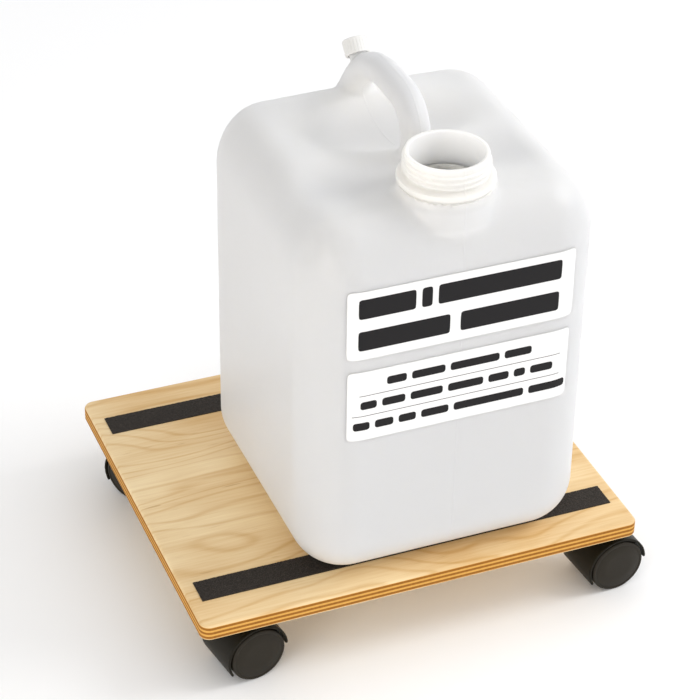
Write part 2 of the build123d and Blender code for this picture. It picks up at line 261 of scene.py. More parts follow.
def lathe(profile, turns=96, place=None, bump=None):
    """A closed turned solid: profile is a list of (radius, height) from the bottom of the axis
    to the top of it. bump(angle, height) adds to the radius, for threads."""
    rings = [(r, h) for r, h in profile if r > 0]
    angles = [2 * math.pi * k / turns for k in range(turns)]
    points = []
    for r, h in rings:
        for angle in angles:
            radius = r + (bump(angle, h) if bump else 0.0)
            points.append((radius * math.cos(angle), radius * math.sin(angle), h))
    faces = []
    for ring in range(len(rings) - 1):
        a, b = ring * turns, (ring + 1) * turns
        for k in range(turns):
            n = (k + 1) % turns
            faces.append((a + k, a + n, b + n, b + k))
    bottom, top = len(points), len(points) + 1
    points += [(0, 0, profile[0][1]), (0, 0, profile[-1][1])]
    last = (len(rings) - 1) * turns
    for k in range(turns):
        n = (k + 1) % turns
        faces.append((bottom, n, k))
        faces.append((top, last + k, last + n))
    mesh = bpy.data.meshes.new("turned")
    mesh.from_pydata(points, [], faces)
    mesh.polygons.foreach_set("use_smooth", [True] * len(mesh.polygons))
    if place is not None:
        mesh.transform(place)
    return mesh


def crease(mesh, degrees=35.0):
    """Smooth shading, with edges sharper than this left crisp."""
    mesh.polygons.foreach_set("use_smooth", [True] * len(mesh.polygons))
    mesh.set_sharp_from_angle(angle=math.radians(degrees))
    return mesh


def combine(name, base, *steps):
    """Joins or cuts closed meshes: steps are (operation, mesh)."""
    body = link(name, base)
    tools = []
    for operation, mesh in steps:
        tool = link("tool", mesh)
        tools.append(tool)
        cut = body.modifiers.new("cut", "BOOLEAN")
        cut.operation = operation
        cut.solver = "MANIFOLD"
        cut.object = tool
    mesh = baked_mesh(body)
    for tool in tools:
        bpy.data.objects.remove(tool)
    return mesh


# %% [markdown]
# ## Shapes from a distance formula
# Blow-moulded and injection-moulded plastic has no sharp joins: every wall flows into the next
# one. Bevels and subdivision can do that for a box, but not where a handle and a neck grow out of
# a dented top. So these pieces are written as a distance formula: negative inside, zero on the
# skin. A smooth minimum melts two shapes together and a smooth maximum dents one with another.
# Geometry Nodes samples the formula on a grid, wraps a mesh round it, and then slides each point
# along the formula's slope until it lies exactly on the skin, which removes the grid's steps.


# %% Mesh from a distance group
def new_group(name, *sockets):
    """A Geometry Nodes group with named inputs and one output, and its wires by name."""
    tree = bpy.data.node_groups.new(name, "GeometryNodeTree")
    for label, kind in sockets[:-1]:
        tree.interface.new_socket(label, in_out="INPUT", socket_type="NodeSocket" + kind)
    label, kind = sockets[-1]
    tree.interface.new_socket(label, in_out="OUTPUT", socket_type="NodeSocket" + kind)
    inlet = tree.nodes.new("NodeGroupInput")
    outlet = tree.nodes.new("NodeGroupOutput")
    wires = {socket.name: Wire(tree, socket) for socket in inlet.outputs if socket.name}
    return tree, wires, outlet.inputs[0]


def set_input(modifier, name, value):
    """Sets a modifier's input by the identifier of the socket that has this name."""
    for item in modifier.node_group.interface.items_tree:
        if item.name == name and item.in_out == "INPUT":
            modifier[item.identifier] = value


def end_tree(tree, outlet, geometry, finish):
    """Ends a tree as every tree here ends: copies made real, and the finish set."""
    real = step(tree, "GeometryNodeRealizeInstances", {}, {"Geometry": geometry})
    painted = step(tree, "GeometryNodeSetMaterial", {}, {"Geometry": real, "Material": finish})
    plug(tree, outlet, painted)


def skin(name, distance, low, high, voxel, finish, inset=0.0, guide=None, slides=2):
    """The mesh where the distance group is minus inset, inside the box from low to high."""
    tree, wires, outlet = new_group(
        name + "_skin",
        ("Guide", "Geometry"),
        ("Voxel", "Float"),
        ("Inset", "Float"),
        ("Finish", "Material"),
        ("Geometry", "Geometry"),
    )

    def gap(at):
        inner = tree.nodes.new("GeometryNodeGroup")
        inner.node_tree = distance
        plug(tree, inner.inputs["Position"], at)
        if "Guide" in inner.inputs:
            plug(tree, inner.inputs["Guide"], wires["Guide"])
        return Wire(tree, inner.outputs[0]) + wires["Inset"]

    band = 4 * voxel
    near = gap(step(tree, "GeometryNodeInputPosition")) / band
    fog = step(tree, "ShaderNodeClamp", {}, {0: 0.5 - near})
    size = Vector(high) - Vector(low)
    cells = [(size[k] / wires["Voxel"]).math("CEIL") for k in range(3)]
    volume = step(
        tree,
        "GeometryNodeVolumeCube",
        {},
        {"Density": fog, "Min": tuple(low), "Max": tuple(high),
         "Resolution X": cells[0], "Resolution Y": cells[1], "Resolution Z": cells[2]},
    )
    mesh = step(tree, "GeometryNodeVolumeToMesh", {}, {"Volume": volume, "Threshold": 0.5})
    nudge = 0.1 * voxel
    for _ in range(slides):
        here = step(tree, "GeometryNodeInputPosition")
        level_here = gap(here)
        slope = []
        for axis in range(3):
            offset = [0.0, 0.0, 0.0]
            offset[axis] = nudge
            moved = step(tree, "ShaderNodeVectorMath", {"operation": "ADD"}, {0: here, 1: offset})
            slope.append((gap(moved) - level_here) / nudge)
        steep = (slope[0] * slope[0] + slope[1] * slope[1] + slope[2] * slope[2]).most(0.05)
        share = (level_here / steep).most(-voxel).least(voxel)
        shift = tree.nodes.new("ShaderNodeCombineXYZ")
        for axis in range(3):
            plug(tree, shift.inputs[axis], -(slope[axis] * share))
        offset = Wire(tree, shift.outputs[0])
        mesh = step(tree, "GeometryNodeSetPosition", {}, {"Geometry": mesh, "Offset": offset})
    mesh = step(tree, "GeometryNodeSetShadeSmooth", {}, {"Geometry": mesh})
    end_tree(tree, outlet, mesh, wires["Finish"])
    holder = link(name, bpy.data.meshes.new(name) if guide is None else guide.copy())
    modifier = holder.modifiers.new("skin", "NODES")
    modifier.node_group = tree
    set_input(modifier, "Voxel", voxel)
    set_input(modifier, "Inset", inset)
    set_input(modifier, "Finish", finish)
    done = baked_mesh(holder)
    print(name, "cells:", [round(size[k] / voxel) for k in range(3)], "faces:", len(done.polygons))
    return done


# %% [markdown]
# ## The tank
# The can is one blow moulding of high-density polyethylene: a box with big soft corners, a neck
# at the front, and a hollow tube handle over a finger well. Its sizes come from the frame's tank
# node; the few that a box can't tell, such as corner radii, are named here in millimetres.

# %% Places on the tank
tank_low, tank_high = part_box("tank")
tank_x = (tank_low.x + tank_high.x) / 2
tank_y = (tank_low.y + tank_high.y) / 2
half_width = (tank_high.x - tank_low.x) / 2
half_depth = (tank_high.y - tank_low.y) / 2
handle_tube = 12.3 * MM
handle_rise = 38.8 * MM
tank_base = tank_low.z
tank_top = tank_high.z - handle_rise - handle_tube
corner = 46.0 * MM
wall = 2.5 * MM

mounts = {mount["name"]: mount for mount in frame["record"]["mounts"]}
neck_x, neck_y = mounts["neck_mouth"]["pos_m"][:2]
neck_rim = mounts["neck_thread"]["pos_m"][2]
neck_radius, tube, mouth, lip = 38.6 * MM, 33.6 * MM, 30.0 * MM, 1.4 * MM
print("tank body in mm:", round(half_width * 2 / MM, 1), round(half_depth * 2 / MM, 1))


# %% The handle's centre line
def rounded_path(points, radii, pieces=12):
    """A line through points whose inner corners are arcs of the given radii."""
    line = [Vector(points[0])]
    for k, radius in enumerate(radii, start=1):
        at = Vector(points[k])
        u = (Vector(points[k - 1]) - at).normalized()
        v = (Vector(points[k + 1]) - at).normalized()
        half = u.angle(v) / 2
        centre = at + (u + v).normalized() * (radius / math.sin(half))
        start = (at + u * (radius / math.tan(half)) - centre).normalized()
        end = (at + v * (radius / math.tan(half)) - centre).normalized()
        for n in range(pieces + 1):
            line.append(centre + start.slerp(end, n / pieces) * radius)
    line.append(Vector(points[-1]))
    return line


handle_front = tank_low.y + 101.5 * MM
handle_rear = tank_high.y - 22.8 * MM
handle_bend = handle_rear - 36.0 * MM
handle_top = tank_top + handle_rise
handle_root = tank_top - 30.0 * MM
handle_line = rounded_path(
    [
        (tank_x, handle_front, handle_root),
        (tank_x, handle_front, handle_top),
        (tank_x, handle_bend, handle_top),
        (tank_x, handle_rear, handle_top - 47.8 * MM),
        (tank_x, handle_rear, handle_root),
    ],
    [30.0 * MM, 0.83 * (handle_bend - handle_front), 20.0 * MM],
)
handle_wire = bpy.data.meshes.new("handle_line")
handle_wire.from_pydata(handle_line, [(k, k + 1) for k in range(len(handle_line) - 1)], [])
print("handle points:", len(handle_line), "span:", round((handle_rear - handle_front) / MM, 1), "mm")

# %% [markdown]
# ## Finishes
# Each finish is a short function that returns a material. They all start from the same
# Principled shader and read Object coordinates, which are metres in the frame, so a pattern has
# its true size and stays put when a body moves.


# %% A finish to start from
def finish_for(name, colour, roughness):
    """A material, its tree, its shader's inputs and its Object coordinates."""
    material = bpy.data.materials.new(name)
    material.use_nodes = True
    tree = material.node_tree
    shader = tree.nodes["Principled BSDF"]
    shader.inputs["Base Color"].default_value = (*colour, 1.0)
    shader.inputs["Roughness"].default_value = roughness
    place = step(tree, "ShaderNodeTexCoord", out=3)
    return material, tree, shader.inputs, place


def stretched(tree, place, scale):
    """Object coordinates scaled per axis."""
    return step(tree, "ShaderNodeMapping", {}, {"Vector": place, "Scale": scale})


def noise(tree, place, scale, detail=3.0, rough=0.5, distort=0.0):
    return step(
        tree,
        "ShaderNodeTexNoise",
        {},
        {"Vector": place, "Scale": scale, "Detail": detail, "Roughness": rough, "Distortion": distort},
    )


def blend(tree, share, low, high):
    """A colour between two, by a wire from 0 to 1."""
    mixer = tree.nodes.new("ShaderNodeMix")
    mixer.data_type = "RGBA"
    plug(tree, mixer.inputs["Factor"], share)
    for label, colour in (("A", low), ("B", high)):
        socket = next(s for s in mixer.inputs if s.name == label and s.type == "RGBA")
        plug(tree, socket, colour if isinstance(colour, Wire) else (*colour, 1.0))
    return Wire(tree, next(s for s in mixer.outputs if s.type == "RGBA"))


def bumped(tree, inputs, height, strength, distance):
    relief = step(
        tree, "ShaderNodeBump", {}, {"Height": height, "Strength": strength, "Distance": distance}
    )
    plug(tree, inputs["Normal"], relief)


def ranged(tree, value, low, high, to_low=0.0, to_high=1.0):
    """A wire moved from one range to another, and held inside it."""
    return step(
        tree,
        "ShaderNodeMapRange",
        {},
        {"Value": value, "From Min": low, "From Max": high, "To Min": to_low, "To Max": to_high},
    )


print("finish helpers: finish_for, stretched, noise, blend, bumped, ranged")


# %% Milky polyethylene
def milky_plastic():
    material, tree, inputs, place = finish_for("milky_polyethylene", (0.86, 0.862, 0.85), 0.42)
    cloud = noise(tree, place, 9.0, 2.0)
    across, along, level = parts_of(tree, place)
    # painted light and shade: the neck's bore and the handle are painted paler, as light shining through thin
    # plastic, and the outside of the neck is painted darker, as shade
    reach = span(across - neck_x, along - neck_y)
    above = ranged(tree, level, tank_top - 4 * MM, tank_top + 9 * MM)
    outer = ranged(tree, reach, mouth + 0.2 * MM, mouth + 0.8 * MM)
    rim = outer * above
    behind = ranged(tree, along, neck_y + neck_radius, neck_y + neck_radius + 8 * MM)
    painted_light_mask = (above * behind).most((1 - outer) * above)
    colour = blend(tree, cloud, (0.90, 0.885, 0.85), (0.925, 0.913, 0.885))
    # painted shade: the outside of the neck above the top is darkened
    colour = blend(tree, rim * (1 - behind), colour, (0.80, 0.785, 0.755))
    # painted light: the bore and everything behind the neck from just under the top up, the handle most, is made
    # paler
    plug(tree, inputs["Base Color"], blend(tree, painted_light_mask, colour, (0.985, 0.975, 0.955)))
    inputs["Subsurface Weight"].default_value = 1.0
    inputs["Subsurface Radius"].default_value = (1.0, 0.98, 0.92)
    inputs["Subsurface Scale"].default_value = 0.012
    inputs["IOR"].default_value = 1.5
    outside = (reach - mouth).math("GREATER_THAN", 1.0 * MM)
    line = ranged(tree, (across - tank_x).math("ABSOLUTE"), 0.0, 1.1 * MM, 1.0, 0.0) * outside
    grain = noise(tree, place, 900.0, 2.0)
    ripple = noise(tree, place, 22.0, 1.0)
    bumped(tree, inputs, line * 0.8 + grain * 0.06 + ripple * 1.2, 0.5, 0.6 * MM)
    plug(tree, inputs["Roughness"], ranged(tree, noise(tree, place, 40.0, 3.0), 0.3, 0.7, 0.38, 0.48))
    return material


milky_finish = milky_plastic()
print(milky_finish.name, "nodes:", len(milky_finish.node_tree.nodes))

# %% The tank as a distance
shape, wires, outlet = new_group(
    "tank_distance", ("Guide", "Geometry"), ("Position", "Vector"), ("Distance", "Float")
)
at = wires["Position"]
x, y, z = parts_of(shape, at)
off_x = (x - tank_x).math("ABSOLUTE")
off_y = (y - tank_y).math("ABSOLUTE")
past_x = off_x - (half_width - corner)
past_y = off_y - (half_depth - corner)
side = span(past_x.most(0.0), past_y.most(0.0)) + past_x.most(past_y).least(0.0) - corner

# top edge: a squashed arc, wider down the wall than across the top, under a slightly domed top
edge_across, edge_down, edge_power, dome = 37.0 * MM, 50.0 * MM, 1.9, 3.0 * MM
domed_top = tank_top - dome * (
    (off_x / half_width) ** 2.0 + (off_y / half_depth) ** 2.0
).least(1.0)
u = (side + edge_across).most(0.0) / edge_across
v = ((z - domed_top) + edge_down).most(0.0) / edge_down
upper = ((u ** edge_power + v ** edge_power) ** (1 / edge_power) - 1.0) * edge_across

# bottom edge: a plain arc
base_round = 43.0 * MM
u = (side + base_round).most(0.0) / base_round
v = (tank_base + base_round - z).most(0.0) / base_round
can = upper.most((span(u, v) - 1.0) * base_round)


def egg(across, centre, radii):
    """Rough distance to an egg shape. across is the wire of the sideways distance."""
    u = (across - centre[0]) / radii[0]
    v = (y - centre[1]) / radii[1]
    w = (z - centre[2]) / radii[2]
    return ((u * u + v * v + w * w) ** 0.5 - 1.0) * min(radii)


# the finger well under the handle, and a shallow dip on each side between it and the neck
well_y = (handle_front + handle_rear) / 2 - 3.0 * MM
well = egg(off_x, (0.0, well_y, tank_top + 4 * MM), (74 * MM, 45 * MM, 22 * MM))
dip = egg(off_x, (66 * MM, neck_y + 45 * MM, tank_top + 4 * MM), (48 * MM, 27 * MM, 12 * MM))
can = can.math("SMOOTH_MAX", -well, 16 * MM)
can = can.math("SMOOTH_MAX", -dip, 18 * MM)

# the neck grows out of the front, and melts into it further down
neck_top = tank_top + 6.5 * MM
neck_fade = (tank_top - 20 * MM - z).most(0.0) * 0.5
neck = span(x - neck_x, y - neck_y) - neck_radius + neck_fade
neck = neck.math("SMOOTH_MAX", z - neck_top, 3 * MM)
can = can.math("SMOOTH_MIN", neck, 9 * MM)

# the handle is everything within one tube radius of its centre line
reach = step(
    shape, "GeometryNodeProximity", {"target_element": "EDGES"}, {0: wires["Guide"], 2: at}, out=1
)
plug(shape, outlet, can.math("SMOOTH_MIN", reach - handle_tube, 10 * MM))

room = Vector((8 * MM,) * 3)
tank_room = (tank_low - room, tank_high + room)
tank_skin = skin("tank_outside", shape, *tank_room, 3.2 * MM, milky_finish, guide=handle_wire)
tank_hollow = skin("tank_inside", shape, *tank_room, 4.4 * MM, milky_finish, wall, handle_wire)


# %% Neck and spout
def thread(start, pitch, turns, height):
    """Radius added by a rounded screw thread that fades in and out at its ends."""

    def rise(angle, level):
        total = 0.0
        for turn in range(turns + 1):
            centre = start - pitch * (turn + angle / (2 * math.pi))
            run = turn + angle / (2 * math.pi)
            fade = max(0.0, min(1.0, run * 6, (turns - run) * 6))
            gap = abs(level - centre) / (pitch * 0.3)
            total += height * fade * max(0.0, 1 - gap * gap) if gap < 1 else 0.0
        return total

    return rise


def levels(radius, low, high, spacing):
    """Evenly spaced rings of one radius, fine enough for a thread to show."""
    count = round((high - low) / spacing)
    return [(radius, low + (high - low) * k / count) for k in range(count + 1)]


collar_low, collar_high = tank_top + 8.6 * MM, tank_top + 13.4 * MM
neck_profile = [
    (0, tank_top - 14 * MM),
    (37.0 * MM, tank_top - 14 * MM),
    (37.0 * MM, collar_low),
    (38.7 * MM, collar_low),
    (39.4 * MM, collar_low + 0.6 * MM),
    (39.5 * MM, collar_high - 1.2 * MM),
    (38.9 * MM, collar_high - 0.2 * MM),
    (38.0 * MM, collar_high),
    (36.0 * MM, collar_high + 0.3 * MM),
    (34.2 * MM, collar_high + 1.2 * MM),
    *levels(tube, collar_high + 2.4 * MM, neck_rim - lip, 0.45 * MM),
    (tube - 0.4 * MM, neck_rim - 0.4 * MM),
    (tube - lip, neck_rim),
    (0, neck_rim),
]
neck_place = Matrix.Translation((neck_x, neck_y, 0))
neck_thread = thread(neck_rim - 3.4 * MM, 4.7 * MM, 3, 1.6 * MM)


def neck_bump(angle, level):
    """The thread, kept off the collar."""
    return neck_thread(angle, level) if level > collar_high + 2.5 * MM else 0.0


neck_plug = lathe(neck_profile, 144, neck_place, neck_bump)

bore = [
    (0, tank_top + 1 * MM),
    (mouth, tank_top + 1 * MM),
    (mouth, neck_rim - lip),
    (mouth + 0.5 * MM, neck_rim - 0.4 * MM),
    (mouth + lip, neck_rim + 0.2 * MM),
    (mouth + lip, neck_rim + 2 * MM),
    (0, neck_rim + 2 * MM),
]
neck_bore = lathe(bore, 144, neck_place)

cap_turn = next(joint for joint in frame["joints"] if joint["name"] == "vent_cap_turn")
spout_axis = Vector(cap_turn["axis"])
spout_place = Matrix.Translation(cap_turn["pos_m"]) @ Vector((0, 0, 1)).rotation_difference(
    spout_axis
).to_matrix().to_4x4()
spout_length, spout_radius = 25.0 * MM, 7.4 * MM
spout_thread = thread(spout_length - 2.0 * MM, 3.0 * MM, 3, 0.9 * MM)
spout = [
    (0, 6 * MM),
    *levels(spout_radius, 6 * MM, spout_length - 0.5 * MM, 0.4 * MM),
    (spout_radius - 0.5 * MM, spout_length),
    (0, spout_length),
]
spout_plug = lathe(spout, 64, spout_place, spout_thread)
spout_hole, spout_end = 5 * MM, spout_length + 1 * MM
spout_bore = lathe(
    [(0, 0), (spout_hole, 0), (spout_hole, spout_end), (0, spout_end)], 48, spout_place
)

tank_mesh = combine(
    "tank_shell",
    tank_skin,
    ("UNION", neck_plug),
    ("UNION", spout_plug),
    ("DIFFERENCE", tank_hollow),
    ("DIFFERENCE", neck_bore),
    ("DIFFERENCE", spout_bore),
)
crease(tank_mesh, 40)


keep(link("tank_shell", tank_mesh), "tank", "tank_polyethylene", milky_finish, "tank")

# %% [markdown]
# ## Labels
# Two films are stuck round the front of the can. Each starts as a flat sheet with rounded corners
# that stands in front of the tank. Geometry Nodes then walks every point backwards, by the tank's
# own distance formula, until it is one film thickness from the skin. The print is made the same
# way, a hair further out: plain bars in place of words, and two thin rules.


# %% Sheets that wrap onto the tank
def sheet(width, height, radius, lift, spacing=2.5 * MM):
    """A flat grid with rounded corners in the XZ plane. Its Y tells how far it will stand off,
    and a skirt round it reaches just under the skin, so the film has an edge."""
    tall = max(3, round(height / spacing))
    wide = max(3, round(width / spacing))
    steps = [k / tall for k in range(tall + 1)]
    turn = [radius / height * (1 - math.cos(math.radians(a))) for a in (0, 25, 45, 65)]
    steps = sorted({round(t, 5) for t in [*steps[1:-1], *turn, *(1 - t for t in turn)]})
    points, faces = [], []
    for t in steps:
        level = (t - 0.5) * height
        past = max(0.0, abs(level) - (height / 2 - radius))
        half = width / 2 - radius + math.sqrt(max(0.0, radius**2 - past**2))
        points += [(half * (2 * k / wide - 1), -lift, level) for k in range(wide + 1)]
    row = wide + 1
    for r in range(len(steps) - 1):
        for k in range(wide):
            a = r * row + k
            faces.append((a, a + 1, a + row + 1, a + row))
    last = (len(steps) - 1) * row
    edge = list(range(row)) + [r * row + wide for r in range(1, len(steps))]
    edge += [last + k for k in range(wide - 1, -1, -1)]
    edge += [r * row for r in range(len(steps) - 2, 0, -1)]
    first = len(points)
    points += [(points[k][0], 0.15 * MM, points[k][2]) for k in edge]
    for k in range(len(edge)):
        n = (k + 1) % len(edge)
        faces.append((edge[n], edge[k], first + k, first + n))
    mesh = bpy.data.meshes.new("sheet")
    mesh.from_pydata(points, [], faces)
    return mesh


def joined(meshes_and_places):
    """One mesh from several, each moved by its own (x, z)."""
    build = bmesh.new()
    for mesh, (across, level) in meshes_and_places:
        mesh.transform(Matrix.Translation((across, 0, level)))
        build.from_mesh(mesh)
        bpy.data.meshes.remove(mesh)
    done = bpy.data.meshes.new("joined")
    build.to_mesh(done)
    build.free()
    return done


def wrapped(name, flat, finish, walk=7):
    """The flat mesh pressed against the front of the tank."""
    tree, wires, outlet = new_group(
        name + "_wrap", ("Sheet", "Geometry"), ("Guide", "Object"), ("Start", "Float"),
        ("Finish", "Material"), ("Geometry", "Geometry"),
    )
    info = tree.nodes.new("GeometryNodeObjectInfo")
    plug(tree, info.inputs["Object"], wires["Guide"])
    guide = Wire(tree, info.outputs["Geometry"])
    across, lift, level = parts_of(tree, step(tree, "GeometryNodeInputPosition"))
    depth = wires["Start"]
    for _ in range(walk):
        spot = tree.nodes.new("ShaderNodeCombineXYZ")
        for socket, value in zip(spot.inputs, (across, depth, level)):
            plug(tree, socket, value)
        inner = tree.nodes.new("GeometryNodeGroup")
        inner.node_tree = shape
        plug(tree, inner.inputs["Position"], Wire(tree, spot.outputs[0]))
        plug(tree, inner.inputs["Guide"], guide)
        depth = depth + Wire(tree, inner.outputs[0]) + lift
    spot = tree.nodes.new("ShaderNodeCombineXYZ")
    for socket, value in zip(spot.inputs, (across, depth, level)):
        plug(tree, socket, value)
    landed = Wire(tree, spot.outputs[0])
    mesh = step(tree, "GeometryNodeSetPosition", {}, {"Geometry": wires["Sheet"], "Position": landed})
    end_tree(tree, outlet, mesh, wires["Finish"])
    holder = link(name, flat)
    modifier = holder.modifiers.new("wrap", "NODES")
    modifier.node_group = tree
    guide_holder = link("handle_guide", handle_wire.copy())
    set_input(modifier, "Guide", guide_holder)
    set_input(modifier, "Start", tank_low.y - 6 * MM)
    set_input(modifier, "Finish", finish)
    done = baked_mesh(holder)
    bpy.data.objects.remove(guide_holder)
    return crease(done, 50)


print("a sheet is wrapped by walking each point up to the tank")


# %% Label finishes
def film():
    material, tree, inputs, place = finish_for("label_film", (0.88, 0.88, 0.88), 0.34)
    wave = noise(tree, place, 55.0, 2.0)
    bumped(tree, inputs, wave, 0.25, 0.4 * MM)
    return material


def ink():
    material, _, inputs, _ = finish_for("print_ink", (0.006, 0.005, 0.006), 0.5)
    inputs["Specular IOR Level"].default_value = 0.25
    return material


film_finish, ink_finish = film(), ink()
film_lift, ink_lift = 0.3 * MM, 0.36 * MM
print("film and ink stand off the tank by", film_lift / MM, "and", ink_lift / MM, "mm")

# %% Films and print
labels = {}
for name in ("label_upper", "label_lower"):
    low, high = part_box(name)
    middle = ((low.x + high.x) / 2, (low.z + high.z) / 2)
    size = (high.x - low.x, high.z - low.z)
    labels[name] = (middle, size)
    flat = joined([(sheet(*size, 4 * MM, film_lift), middle)])
    film_piece = link(name + "_film", wrapped(name, flat, film_finish))
    keep(film_piece, "tank", "label_film", film_finish, name)


def bars(name, label, rows):
    """Bars of print on a label. Each row is (height above the label's middle, bar height, left
    end as a share of the label's width, lengths of the bars, space between them)."""
    (mid_x, mid_z), (width, _) = labels[label]
    placed = []
    for rise, thick, start, lengths, space in rows:
        left = -width / 2 + start * width
        for length in lengths:
            flat = sheet(length, thick, min(thick * 0.32, 2.5 * MM), ink_lift, 4 * MM)
            placed.append((flat, (mid_x + left + length / 2, mid_z + rise)))
            left += length + space
    keep(link(name, wrapped(name, joined(placed), ink_finish)), "tank", "label_film", ink_finish)


bars(
    "label_upper_print",
    "label_upper",
    [
        (15.5 * MM, 18 * MM, 0.045, [48 * MM, 9 * MM, 107 * MM], 5 * MM),
        (-14.0 * MM, 18 * MM, 0.045, [78 * MM, 86 * MM], 9 * MM),
    ],
)
rule = 0.5 * MM
bars(
    "label_lower_print",
    "label_lower",
    [
        (20.5 * MM, 7.5 * MM, 0.17, [w * MM for w in (17, 29, 43, 24)], 4.5 * MM),
        (10.0 * MM, rule, 0.05, [176 * MM], 0.0),
        (0.5 * MM, 7.5 * MM, 0.055, [w * MM for w in (14, 20, 28, 31, 18, 10, 20)], 4.6 * MM),
        (-9.5 * MM, rule, 0.02, [182 * MM], 0.0),
        (-19.5 * MM, 7.5 * MM, 0.025, [w * MM for w in (14, 16, 15, 24, 62, 33)], 4.6 * MM),
    ],
)

# %% [markdown]
# ## The board
# The board keeps its CAD mesh, with its rounded edges and screw holes, and gets its looks from a
# plywood finish. Real plywood is a stack: the face veneer has long wavy grain, and the edge shows
# each ply, pale and brown by turns, because every other ply is laid across its neighbours.


# %% Plywood
def plywood():
    material, tree, inputs, place = finish_for("birch_plywood", (0.8, 0.62, 0.38), 0.36)
    across, along, level = parts_of(tree, place)

    # face: long streaks that drift, with a broad figure under them
    drift = noise(tree, stretched(tree, place, (3.0, 9.0, 9.0)), 1.0, 2.0, 0.5, 0.6)
    fine = noise(tree, stretched(tree, place, (16.0, 420.0, 420.0)), 1.0, 4.0, 0.65)
    lines = (along * 44.0 + drift * 11.0).math("MULTIPLY", 2 * math.pi).math("SINE") * 0.5 + 0.5
    patch = noise(tree, stretched(tree, place, (4.0, 8.0, 8.0)), 1.0, 3.0, 0.55, 0.5)
    streak = ranged(tree, lines ** 7.0 * 0.15 + fine * 0.35 + patch * 0.95, 0.40, 1.0)
    face = blend(tree, streak, (0.95, 0.78, 0.49), (0.60, 0.34, 0.105))
    fleck = noise(tree, stretched(tree, place, (30.0, 260.0, 260.0)), 1.0, 1.0)
    fleck = ranged(tree, fleck, 0.74, 0.80)
    face = blend(tree, fleck * 0.45, face, (0.50, 0.29, 0.11))

    # edge: seven plies, pale and brown by turns
    ply = (board_high.z - board_low.z) / 7
    depth = (level - board_low.z) / ply
    odd = (depth * 0.5).math("FRACT").math("GREATER_THAN", 0.5)
    pores = noise(tree, stretched(tree, place, (700.0, 700.0, 90.0)), 1.0, 3.0, 0.7)
    pale = blend(tree, pores, (0.78, 0.43, 0.10), (0.66, 0.33, 0.06))
    brown = blend(tree, pores, (0.42, 0.165, 0.018), (0.24, 0.085, 0.01))
    glue = (depth.math("FRACT") - 0.5).math("ABSOLUTE")
    edge = blend(tree, odd, pale, brown)
    edge = blend(tree, ranged(tree, glue, 0.40, 0.5) * 0.55, edge, (0.22, 0.10, 0.035))

    # the face veneer reaches down to the first glue line, also where the edge is rounded
    skin_depth = 0.8 * ply
    on_face = (level - (board_high.z - skin_depth)).math("GREATER_THAN", 0.0)
    under = (level - (board_low.z + skin_depth)).math("LESS_THAN", 0.0)
    veneer = on_face.most(under)
    plug(tree, inputs["Base Color"], blend(tree, veneer, edge, face))
    plug(tree, inputs["Roughness"], ranged(tree, fine, 0.2, 0.8, 0.30, 0.44) + (1 - veneer) * 0.35)
    plug(tree, inputs["Coat Weight"], veneer * 0.1)
    inputs["Specular IOR Level"].default_value = 0.22
    inputs["Coat Roughness"].default_value = 0.22
    bumped(tree, inputs, fine * 0.5 + pores * 0.3, 0.22, 0.15 * MM)
    return material


board = frame["nodes"]["board"]
board.data.materials.clear()
board.data.materials.append(plywood())
print("board in mm:", [round(v / MM, 1) for v in board_high - board_low])

# %% [markdown]
# ## Grip strips
# Anti-slip tape is a film covered in grit. A flat box can't catch the light like that, so a node
# group lays a fine grid in the strip's place and pulls each point down by a random amount.


# %% Grit by Geometry Nodes
def grit_group():
    tree, wires, outlet = new_group(
        "grit",
        ("Length", "Float"),
        ("Width", "Float"),
        ("Spacing", "Float"),
        ("Roughness", "Float"),
        ("Seed", "Int"),
        ("Finish", "Material"),
        ("Geometry", "Geometry"),
    )
    columns = (wires["Length"] / wires["Spacing"]).math("CEIL")
    rows = (wires["Width"] / wires["Spacing"]).math("CEIL")
    grid = step(
        tree,
        "GeometryNodeMeshGrid",
        {},
        {"Size X": wires["Length"], "Size Y": wires["Width"],
         "Vertices X": columns, "Vertices Y": rows},
    )
    fall = tree.nodes.new("FunctionNodeRandomValue")
    fall.data_type = "FLOAT"
    values = [socket for socket in fall.inputs if socket.enabled and socket.name in ("Min", "Max")]
    plug(tree, values[0], -wires["Roughness"])
    plug(tree, values[1], 0.0)
    plug(tree, next(s for s in fall.inputs if s.name == "Seed"), wires["Seed"])
    drop = Wire(tree, next(s for s in fall.outputs if s.enabled))
    shift = tree.nodes.new("ShaderNodeCombineXYZ")
    plug(tree, shift.inputs[2], drop)
    rough = step(
        tree, "GeometryNodeSetPosition", {}, {"Geometry": grid, "Offset": Wire(tree, shift.outputs[0])}
    )
    end_tree(tree, outlet, rough, wires["Finish"])
    return tree


def grit_sheet(low, high, seed):
    """The rough top of a strip, closed by walls and a floor."""
    holder = link("grit", bpy.data.meshes.new("grit"))
    modifier = holder.modifiers.new("grit", "NODES")
    modifier.node_group = grit
    size = high - low
    for name, value in (
        ("Length", size.x), ("Width", size.y), ("Spacing", 0.9 * MM), ("Roughness", 0.38 * MM),
        ("Seed", seed), ("Finish", tape_finish),
    ):
        set_input(modifier, name, value)
    mesh = baked_mesh(holder)
    mesh.transform(Matrix.Translation(((low.x + high.x) / 2, (low.y + high.y) / 2, high.z)))
    build = bmesh.new()
    build.from_mesh(mesh)
    rim = [edge for edge in build.edges if edge.is_boundary]
    walls = bmesh.ops.extrude_edge_only(build, edges=rim)["geom"]
    for vert in (item for item in walls if isinstance(item, bmesh.types.BMVert)):
        vert.co.z = low.z + 0.02 * MM
    bmesh.ops.recalc_face_normals(build, faces=build.faces)
    build.to_mesh(mesh)
    build.free()
    return mesh


